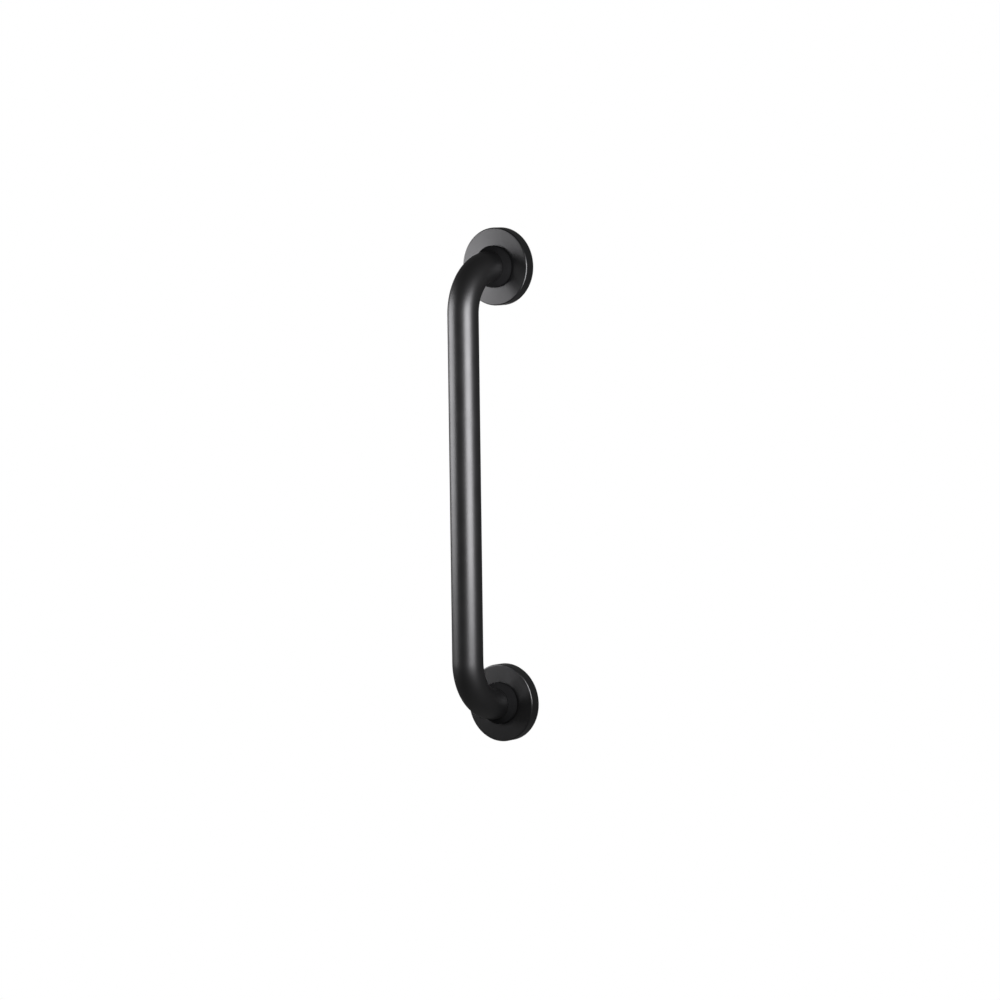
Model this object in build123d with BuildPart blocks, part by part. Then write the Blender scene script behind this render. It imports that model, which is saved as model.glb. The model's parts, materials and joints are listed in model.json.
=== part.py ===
from build123d import *
import os

# Grab bar: a bent tube whose two ends are welded into wall flanges, each hidden by a sliding cover.
# The wall is the plane Y = 0, the bar stands off it towards -Y, and Z runs up along the bar.
# The origin lies on the wall, midway between the two fixings. Lengths are in millimetres.

# Tube
fixing_centres = 450.0
tube_diameter = 32.0
tube_wall = 1.5
bend_radius = 48.0

# Covers: the face rises a little from its edge to its hole
cover_diameter = 80.0
cover_depth = 12.0
cover_crown = 0.5
cover_wall = 1.2
cover_edge_round = 1.4
cover_slide_gap = 0.25

# Wall flanges: a screwed plate with a socket whose sloping end stands out of the cover as a collar
plate_thickness = 4.0
plate_fit = 0.15
plate_edge_break = 0.5
collar_wall = 5.5
collar_side = 4.6
collar_height = 8.3
collar_land = 0.3
collar_edge_round = 0.8
socket_gap = 0.05
socket_root_round = 1.5
screw_count = 3
screw_circle = 61.0
screw_hole = 6.5

# Seal welds at the back of the sockets
weld_setback = 2.5
weld_height = 1.6

# Sizes that follow
tube_radius = tube_diameter / 2
tube_bore = tube_radius - tube_wall
cover_front = cover_depth + cover_crown
collar_shoulder = cover_front + collar_side
collar_front = cover_front + collar_height
axis_standoff = collar_front + bend_radius
run_end = fixing_centres / 2

socket_bore = tube_radius + socket_gap
collar_radius = tube_radius + collar_wall

cover_radius = cover_diameter / 2
skirt_radius = cover_radius - cover_wall
cover_hole = collar_radius + cover_slide_gap
cover_inner_round = max(cover_edge_round - cover_wall, 0)
plate_radius = skirt_radius - plate_fit

os.makedirs("parts", exist_ok=True)


def section_plane(height):
    """Half-section through a leg at that height: X is the radius, Y the depth in front of the wall."""
    return Plane(origin=(0, 0, height), x_dir=(1, 0, 0), z_dir=(0, 0, -1))


def wall_plane(height, depth):
    """Plane parallel to the wall at that depth, centred on a leg and facing the room."""
    return Plane(origin=(0, -depth, height), x_dir=(1, 0, 0), z_dir=(0, -1, 0))


def leg_axis(height):
    """Axis of the leg at that height, towards the room."""
    return Axis((0, 0, height), (0, -1, 0))


def save(part, name):
    part.label = name
    export_step(part, f"parts/{name}.step")


# Bent tube, from one socket to the other
with BuildPart() as rail_tube:
    with BuildLine(Plane.YZ) as rail_path:
        FilletPolyline(
            (-weld_setback, run_end),
            (-axis_standoff, run_end),
            (-axis_standoff, -run_end),
            (-weld_setback, -run_end),
            radius=bend_radius,
        )
    with BuildSketch(wall_plane(run_end, weld_setback)):
        Circle(tube_radius)
        Circle(tube_bore, mode=Mode.SUBTRACT)
    sweep(path=rail_path.line)
save(rail_tube.part, "rail_tube")

for end, side in (("upper", 1), ("lower", -1)):
    height = side * run_end

    # Wall flange, with one of its screw holes towards the end of the bar
    with BuildPart() as flange:
        with BuildSketch(section_plane(height)):
            with BuildLine():
                FilletPolyline(
                    (socket_bore, 0),
                    (plate_radius, 0),
                    (plate_radius, plate_thickness),
                    (collar_radius, plate_thickness),
                    (collar_radius, collar_shoulder),
                    (socket_bore + collar_land, collar_front),
                    (socket_bore, collar_front),
                    radius=(0, 0, plate_edge_break, socket_root_round, collar_edge_round, 0, 0),
                    close=True,
                )
            make_face()
        revolve(axis=leg_axis(height))
        with BuildSketch(wall_plane(height, 0)):
            with PolarLocations(screw_circle / 2, screw_count, start_angle=90 * side):
                Circle(screw_hole / 2)
        extrude(amount=plate_thickness, mode=Mode.SUBTRACT)
    save(flange.part, f"{end}_flange")

    # Seal weld between the tube's end and the socket
    with BuildPart() as weld:
        with BuildSketch(section_plane(height)):
            with BuildLine():
                Polyline(
                    (tube_bore, weld_setback),
                    (socket_bore, weld_setback),
                    (socket_bore, weld_setback - weld_height),
                    close=True,
                )
            make_face()
        revolve(axis=leg_axis(height))
    save(weld.part, f"{end}_weld")

    # Cover: a pressed cup that slides along the collar
    with BuildPart() as cover:
        with BuildSketch(section_plane(height)):
            with BuildLine():
                FilletPolyline(
                    (cover_radius, 0),
                    (cover_radius, cover_depth),
                    (cover_hole, cover_front),
                    (cover_hole, cover_front - cover_wall),
                    (skirt_radius, cover_depth - cover_wall),
                    (skirt_radius, 0),
                    radius=(0, cover_edge_round, 0, 0, cover_inner_round, 0),
                    close=True,
                )
            make_face()
        revolve(axis=leg_axis(height))
    save(cover.part, f"{end}_cover")
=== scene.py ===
import json
import math

import bmesh
import bpy
from mathutils import Matrix, Vector


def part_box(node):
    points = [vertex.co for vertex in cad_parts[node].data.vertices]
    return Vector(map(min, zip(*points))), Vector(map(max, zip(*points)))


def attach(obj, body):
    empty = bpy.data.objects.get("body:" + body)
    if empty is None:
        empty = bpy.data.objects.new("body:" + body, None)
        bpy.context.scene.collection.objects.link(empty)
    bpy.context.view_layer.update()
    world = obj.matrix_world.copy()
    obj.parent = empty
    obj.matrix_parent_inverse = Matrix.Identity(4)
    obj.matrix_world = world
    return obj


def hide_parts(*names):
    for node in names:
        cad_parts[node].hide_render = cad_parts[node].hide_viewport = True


# Looks of the grab bar. Metres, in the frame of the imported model: the wall is the plane Y = 0,
# the bar stands off it towards -Y, and Z runs up along the bar.
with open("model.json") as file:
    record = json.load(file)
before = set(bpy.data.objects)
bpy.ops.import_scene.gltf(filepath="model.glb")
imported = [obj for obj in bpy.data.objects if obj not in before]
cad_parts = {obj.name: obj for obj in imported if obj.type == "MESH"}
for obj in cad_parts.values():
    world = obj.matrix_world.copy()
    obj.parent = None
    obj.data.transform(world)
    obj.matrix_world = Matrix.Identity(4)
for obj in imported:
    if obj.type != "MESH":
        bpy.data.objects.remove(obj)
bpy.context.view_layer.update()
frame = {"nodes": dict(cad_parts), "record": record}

MM = 0.001
FULL_TURN = 2 * math.pi
QUARTER_TURN = math.pi / 2

# Camera that fits the outlines in the photograph
CAMERA_YAW = math.radians(35.03)
CAMERA_PITCH = math.radians(4.09)
CAMERA_ROLL = math.radians(-0.76)
CAMERA_DISTANCE = 4.318
CAMERA_TARGET = Vector((-0.0054, 0.0, -0.0159))
CAMERA_LENS = 150.6
SENSOR_WIDTH = 36.0

# Coatings. Most values of a noise texture lie in its range here.
COAT_IOR = 1.8
NOISE_RANGE = (0.3, 0.7)
MOTTLE_SIZE = 9 * MM
MOTTLE_DETAIL = 3
GLOSS_PATCH = 22 * MM
GLOSS_DETAIL = 2
GLOSS_SPREAD = 0.02
GRAIN_DETAIL = 2
GRAIN_STRENGTH = 1.0
SATIN = {
    "dark": (0.0022, 0.0022, 0.0024),
    "light": (0.003, 0.003, 0.0032),
    "sheen": 0.5,
    "grain": 1.1 * MM,
    "grain_depth": 0.012 * MM,
}
MATT = {
    "dark": (0.01, 0.01, 0.0103),
    "light": (0.012, 0.012, 0.0123),
    "sheen": 0.0,
    "grain": 0.8 * MM,
    "grain_depth": 0.02 * MM,
}

# Sizes of the tube that its box does not give
TUBE_WALL = 1.5 * MM
BEND_RADIUS = 48.0 * MM
END_BREAK = 0.25 * MM

# Fineness of the tube's mesh
TUBE_SIDES = 96
BEND_STEPS = 48
RUN_STEPS = 40
LEG_STEPS = 4

# Seal welds
WELD_SIDES = 360
WELD_STEPS = 10
WELD_CROWN = 0.3 * MM
WELD_RIPPLES = 48
WELD_RIPPLE_DEPTH = 0.14 * MM
WELD_RIPPLE_LAG = 0.09

# Stage and light
FLOOR_DEPTH = 2.2
FLOOR_SIZE = 80.0
FLOOR_COLOUR = (0.8, 0.8, 0.8)
BACKDROP_DISTANCE = 8.0
BACKDROP_WIDTH = 3.1
BACKDROP_HEIGHT = 3.2
BACKDROP_COLOUR = (0.9, 0.9, 0.9)
ROOM_COLOUR = (0.09, 0.09, 0.09)
PANEL_COLOUR = (0.98, 0.97, 1.0)
SPOT_COLOUR = (1.0, 1.0, 1.0)
SPOT_SPREAD = math.radians(20)

# Watts of an area lamp of one square metre at a radiance of one
LAMP_WATTS = 4


def new_object(name, data):
    thing = bpy.data.objects.new(name, data)
    bpy.context.scene.collection.objects.link(thing)
    return thing


def mesh_from(name, verts, faces):
    mesh = bpy.data.meshes.new(name)
    mesh.from_pydata(verts, [], faces)
    mesh.update()
    mesh.shade_smooth()
    return mesh


# Materials

def new_material(name):
    material = bpy.data.materials.new(name)
    material.use_nodes = True
    return material, material.node_tree.nodes["Principled BSDF"]


def noise(nodes, links, coordinates, wavelength, detail):
    texture = nodes.new("ShaderNodeTexNoise")
    texture.inputs["Scale"].default_value = 1 / wavelength
    texture.inputs["Detail"].default_value = detail
    links.new(coordinates.outputs["Object"], texture.inputs["Vector"])
    return texture


def spread(nodes, links, texture, low, high):
    """The texture's usual values, spread from low to high."""
    span = nodes.new("ShaderNodeMapRange")
    span.inputs["From Min"].default_value = NOISE_RANGE[0]
    span.inputs["From Max"].default_value = NOISE_RANGE[1]
    span.inputs["To Min"].default_value = low
    span.inputs["To Max"].default_value = high
    links.new(texture.outputs["Fac"], span.inputs["Value"])
    return span


def powder_coat(name, roughness, dark, light, sheen, grain, grain_depth):
    """Black powder coat: fine orange peel, a slightly uneven gloss and a faint mottle in the colour."""
    material, shader = new_material(name)
    nodes = material.node_tree.nodes
    links = material.node_tree.links
    coordinates = nodes.new("ShaderNodeTexCoord")

    mottle = noise(nodes, links, coordinates, MOTTLE_SIZE, MOTTLE_DETAIL)
    ramp = nodes.new("ShaderNodeValToRGB")
    for stop, position, colour in zip(ramp.color_ramp.elements, NOISE_RANGE, (dark, light)):
        stop.position = position
        stop.color = (*colour, 1)
    links.new(mottle.outputs["Fac"], ramp.inputs["Fac"])
    links.new(ramp.outputs["Color"], shader.inputs["Base Color"])

    gloss = noise(nodes, links, coordinates, GLOSS_PATCH, GLOSS_DETAIL)
    uneven = spread(nodes, links, gloss, roughness - GLOSS_SPREAD, roughness + GLOSS_SPREAD)
    links.new(uneven.outputs["Result"], shader.inputs["Roughness"])

    peel = noise(nodes, links, coordinates, grain, GRAIN_DETAIL)
    bump = nodes.new("ShaderNodeBump")
    bump.inputs["Strength"].default_value = GRAIN_STRENGTH
    bump.inputs["Distance"].default_value = grain_depth
    links.new(peel.outputs["Fac"], bump.inputs["Height"])
    links.new(bump.outputs["Normal"], shader.inputs["Normal"])

    shader.inputs["IOR"].default_value = COAT_IOR
    shader.inputs["Specular IOR Level"].default_value = sheen
    return material


def stage_paint(name, colour):
    """Matt paint without any sheen."""
    material, shader = new_material(name)
    shader.inputs["Base Color"].default_value = (*colour, 1)
    shader.inputs["Roughness"].default_value = 1.0
    shader.inputs["Specular IOR Level"].default_value = 0.0
    return material


def show_white(material):
    """Makes the paint plain white to the camera, in reflections and through glass."""
    nodes = material.node_tree.nodes
    links = material.node_tree.links
    rays = nodes.new("ShaderNodeLightPath")
    camera_or_gloss = nodes.new("ShaderNodeMath")
    camera_or_gloss.operation = "MAXIMUM"
    seen = nodes.new("ShaderNodeMath")
    seen.operation = "MAXIMUM"
    white = nodes.new("ShaderNodeEmission")
    mix = nodes.new("ShaderNodeMixShader")
    links.new(rays.outputs["Is Camera Ray"], camera_or_gloss.inputs[0])
    links.new(rays.outputs["Is Glossy Ray"], camera_or_gloss.inputs[1])
    links.new(camera_or_gloss.outputs["Value"], seen.inputs[0])
    links.new(rays.outputs["Is Transmission Ray"], seen.inputs[1])
    links.new(seen.outputs["Value"], mix.inputs["Fac"])
    links.new(nodes["Principled BSDF"].outputs["BSDF"], mix.inputs[1])
    links.new(white.outputs["Emission"], mix.inputs[2])
    links.new(mix.outputs["Shader"], nodes["Material Output"].inputs["Surface"])


# Bent tube and seal welds

def tube_path(standoff, run_end, wall_gap):
    """Points (y, z) of the centre line and its turn there, from the upper end to the lower one."""
    leg = standoff - BEND_RADIUS
    run = run_end - BEND_RADIUS
    half = []
    for step in range(LEG_STEPS):
        depth = wall_gap + (leg - wall_gap) * step / LEG_STEPS
        half.append((-depth, run_end, 0.0))
    for step in range(BEND_STEPS):
        turn = QUARTER_TURN * step / BEND_STEPS
        half.append((-leg - BEND_RADIUS * math.sin(turn), run + BEND_RADIUS * math.cos(turn), turn))
    half.append((-standoff, run, QUARTER_TURN))
    middle = []
    for step in range(1, RUN_STEPS):
        middle.append((-standoff, run - 2 * run * step / RUN_STEPS, QUARTER_TURN))
    other = [(y, -z, math.pi - turn) for y, z, turn in reversed(half)]
    return half + middle + other


def ring(y, z, turn, radius):
    """Circle about a point of the centre line, square to it. At a turn of 0 that line leaves the wall."""
    outward = Vector((0.0, -math.sin(turn), math.cos(turn)))
    across = Vector((1.0, 0.0, 0.0))
    centre = Vector((0.0, y, z))
    points = []
    for side in range(TUBE_SIDES):
        angle = FULL_TURN * side / TUBE_SIDES
        points.append(centre + radius * (math.cos(angle) * across + math.sin(angle) * outward))
    return points


def bridge(faces, start, after, sides):
    """Adds the band of faces between two closed rings of points."""
    for side in range(sides):
        following = (side + 1) % sides
        faces.append((start + side, start + following, after + following, after + side))


def tube_mesh(radius, path):
    """Outer skin, then over the lower end, back along the bore and over the upper end, in closed rings."""
    first, last = path[0], path[-1]
    bore = radius - TUBE_WALL
    first_break = (first[0] - END_BREAK, first[1], first[2])
    last_break = (last[0] - END_BREAK, last[1], last[2])
    line = [first_break, *path[1:-1], last_break]
    rings = [(*point, radius) for point in line]
    rings.append((*last, radius - END_BREAK))
    rings.append((*last, bore + END_BREAK))
    rings.extend((*point, bore) for point in reversed(line))
    rings.append((*first, bore + END_BREAK))
    rings.append((*first, radius - END_BREAK))
    verts, faces = [], []
    for y, z, turn, size in rings:
        verts.extend(ring(y, z, turn, size))
    for index in range(len(rings)):
        following = (index + 1) % len(rings)
        bridge(faces, index * TUBE_SIDES, following * TUBE_SIDES, TUBE_SIDES)
    return mesh_from("bent_tube", verts, faces)


def weld_mesh(name, low, high, bore):
    """Seal weld between the tube's end and the socket, crowned, with the ripples of its run."""
    level = (low.z + high.z) / 2
    socket = high.x
    deep, shallow = -low.y, -high.y
    outward = Vector((shallow - deep, bore - socket)).normalized()
    verts, faces = [], []
    for side in range(WELD_SIDES):
        angle = FULL_TURN * side / WELD_SIDES
        section = [(socket, deep)]
        for step in range(WELD_STEPS + 1):
            share = step / WELD_STEPS
            swell = math.sin(math.pi * share)
            turn = angle + WELD_RIPPLE_LAG * swell
            ripple = abs(math.sin(WELD_RIPPLES * turn / 2))
            bulge = swell * (WELD_CROWN + WELD_RIPPLE_DEPTH * (ripple - 1))
            radius = bore + share * (socket - bore) + bulge * outward.x
            depth = deep + share * (shallow - deep) + bulge * outward.y
            section.append((radius, depth))
        for radius, depth in section:
            verts.append((radius * math.cos(angle), -depth, level + radius * math.sin(angle)))
    count = WELD_STEPS + 2
    for side in range(WELD_SIDES):
        bridge(faces, side * count, (side + 1) % WELD_SIDES * count, count)
    return mesh_from(name, verts, faces)


def outward_normals(mesh):
    surface = bmesh.new()
    surface.from_mesh(mesh)
    bmesh.ops.recalc_face_normals(surface, faces=surface.faces)
    surface.to_mesh(mesh)
    surface.free()


# Stage, light and camera

def plane(name, width, height):
    x, y = width / 2, height / 2
    corners = [(-x, -y, 0), (x, -y, 0), (x, y, 0), (-x, y, 0)]
    return new_object(name, mesh_from(name, corners, [(0, 1, 2, 3)]))


def softbox(name, azimuth, distance, bottom, top, width, radiance, colour):
    """Upright soft panel that faces the bar. Azimuth 0 is in front of it and 90 degrees on its right."""
    height = top - bottom
    panel = bpy.data.lights.new(name, "AREA")
    panel.shape = "RECTANGLE"
    panel.size = width
    panel.size_y = height
    panel.energy = LAMP_WATTS * radiance * width * height
    panel.color = colour
    lamp = new_object(name, panel)
    angle = math.radians(azimuth)
    away = Vector((math.sin(angle), -math.cos(angle), 0.0))
    lamp.location = away * distance + Vector((0.0, 0.0, (top + bottom) / 2))
    lamp.rotation_euler = away.to_track_quat("Z", "Y").to_euler()
    lamp.visible_camera = False
    return lamp


def dim_room():
    """Even grey room about the bar, dim enough for the dark middle of the tube."""
    world = bpy.data.worlds.new("studio")
    world.use_nodes = True
    background = world.node_tree.nodes["Background"]
    background.inputs["Color"].default_value = (*ROOM_COLOUR, 1)
    bpy.context.scene.world = world


def set_camera():
    back = Vector((
        math.sin(CAMERA_YAW) * math.cos(CAMERA_PITCH),
        -math.cos(CAMERA_YAW) * math.cos(CAMERA_PITCH),
        math.sin(CAMERA_PITCH),
    ))
    level = Vector((math.cos(CAMERA_YAW), math.sin(CAMERA_YAW), 0.0))
    upright = back.cross(level)
    right = math.cos(CAMERA_ROLL) * level + math.sin(CAMERA_ROLL) * upright
    up = math.cos(CAMERA_ROLL) * upright - math.sin(CAMERA_ROLL) * level
    lens = bpy.data.cameras.new("camera")
    lens.sensor_width = SENSOR_WIDTH
    lens.lens = CAMERA_LENS
    camera = new_object("camera", lens)
    turn = Matrix((right, up, back)).transposed().to_4x4()
    camera.matrix_world = Matrix.Translation(CAMERA_TARGET + back * CAMERA_DISTANCE) @ turn
    bpy.context.scene.camera = camera


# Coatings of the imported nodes
tube_coating = powder_coat("tube_coating", roughness=0.39, **SATIN)
cover_coating = powder_coat("cover_coating", roughness=0.32, **SATIN)
flange_coating = powder_coat("flange_coating", roughness=0.75, **MATT)
coatings = {
    "tube_coating": tube_coating,
    "cover_coating": cover_coating,
    "flange_coating": flange_coating,
    "weld_metal": flange_coating,
}
for part in frame["record"]["subparts"]:
    shell = frame["nodes"][part["node"]]
    shell.data.materials.clear()
    shell.data.materials.append(coatings[part["material_slot"]])

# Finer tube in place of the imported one
tube_low, tube_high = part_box("rail_tube")
tube_radius = tube_high.x
path = tube_path(-tube_low.y - tube_radius, tube_high.z - tube_radius, -tube_high.y)
bent_mesh = tube_mesh(tube_radius, path)
outward_normals(bent_mesh)
bent_mesh.materials.append(tube_coating)
bent_tube = new_object("bent_tube", bent_mesh)
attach(bent_tube, "rail")
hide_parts("rail_tube")

# Rippled welds in place of the plain rings
for node in ("upper_weld", "lower_weld"):
    bead_mesh = weld_mesh(node + "_bead", *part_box(node), tube_radius - TUBE_WALL)
    outward_normals(bead_mesh)
    bead_mesh.materials.append(flange_coating)
    bead = new_object(node + "_bead", bead_mesh)
    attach(bead, "rail")
    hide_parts(node)

# Floor, and a backdrop that fills the photograph's frame
floor = plane("floor", FLOOR_SIZE, FLOOR_SIZE)
floor.location.z = -FLOOR_DEPTH
floor.data.materials.append(stage_paint("floor_paint", FLOOR_COLOUR))

behind = Vector((-math.sin(CAMERA_YAW), math.cos(CAMERA_YAW), 0.0))
backdrop = plane("backdrop", BACKDROP_WIDTH, BACKDROP_HEIGHT)
backdrop.location = behind * BACKDROP_DISTANCE + Vector((0, 0, BACKDROP_HEIGHT / 2 - FLOOR_DEPTH))
backdrop.rotation_euler = (-behind).to_track_quat("Z", "Y").to_euler()
backdrop_paper = stage_paint("backdrop_paper", BACKDROP_COLOUR)
show_white(backdrop_paper)
backdrop.data.materials.append(backdrop_paper)

# Camera and light: a panel for each bright line on the tube, and a spot on the back of each flange
set_camera()
softbox("left_box", azimuth=-62.2, distance=1.12, bottom=-0.158, top=0.485, width=1.06,
        radiance=3.7, colour=PANEL_COLOUR)
softbox("right_strip", azimuth=60.8, distance=0.557, bottom=-0.192, top=0.35, width=0.398,
        radiance=6.95, colour=PANEL_COLOUR)
for node in ("upper_flange", "lower_flange"):
    flange_low, flange_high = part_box(node)
    spot = softbox(node + "_spot", azimuth=195, distance=0.5, bottom=flange_low.z, top=flange_high.z,
                   width=0.08, radiance=3.0, colour=SPOT_COLOUR)
    spot.data.spread = SPOT_SPREAD
    spot.visible_glossy = False
dim_room()
bpy.context.scene.view_settings.view_transform = "Standard"
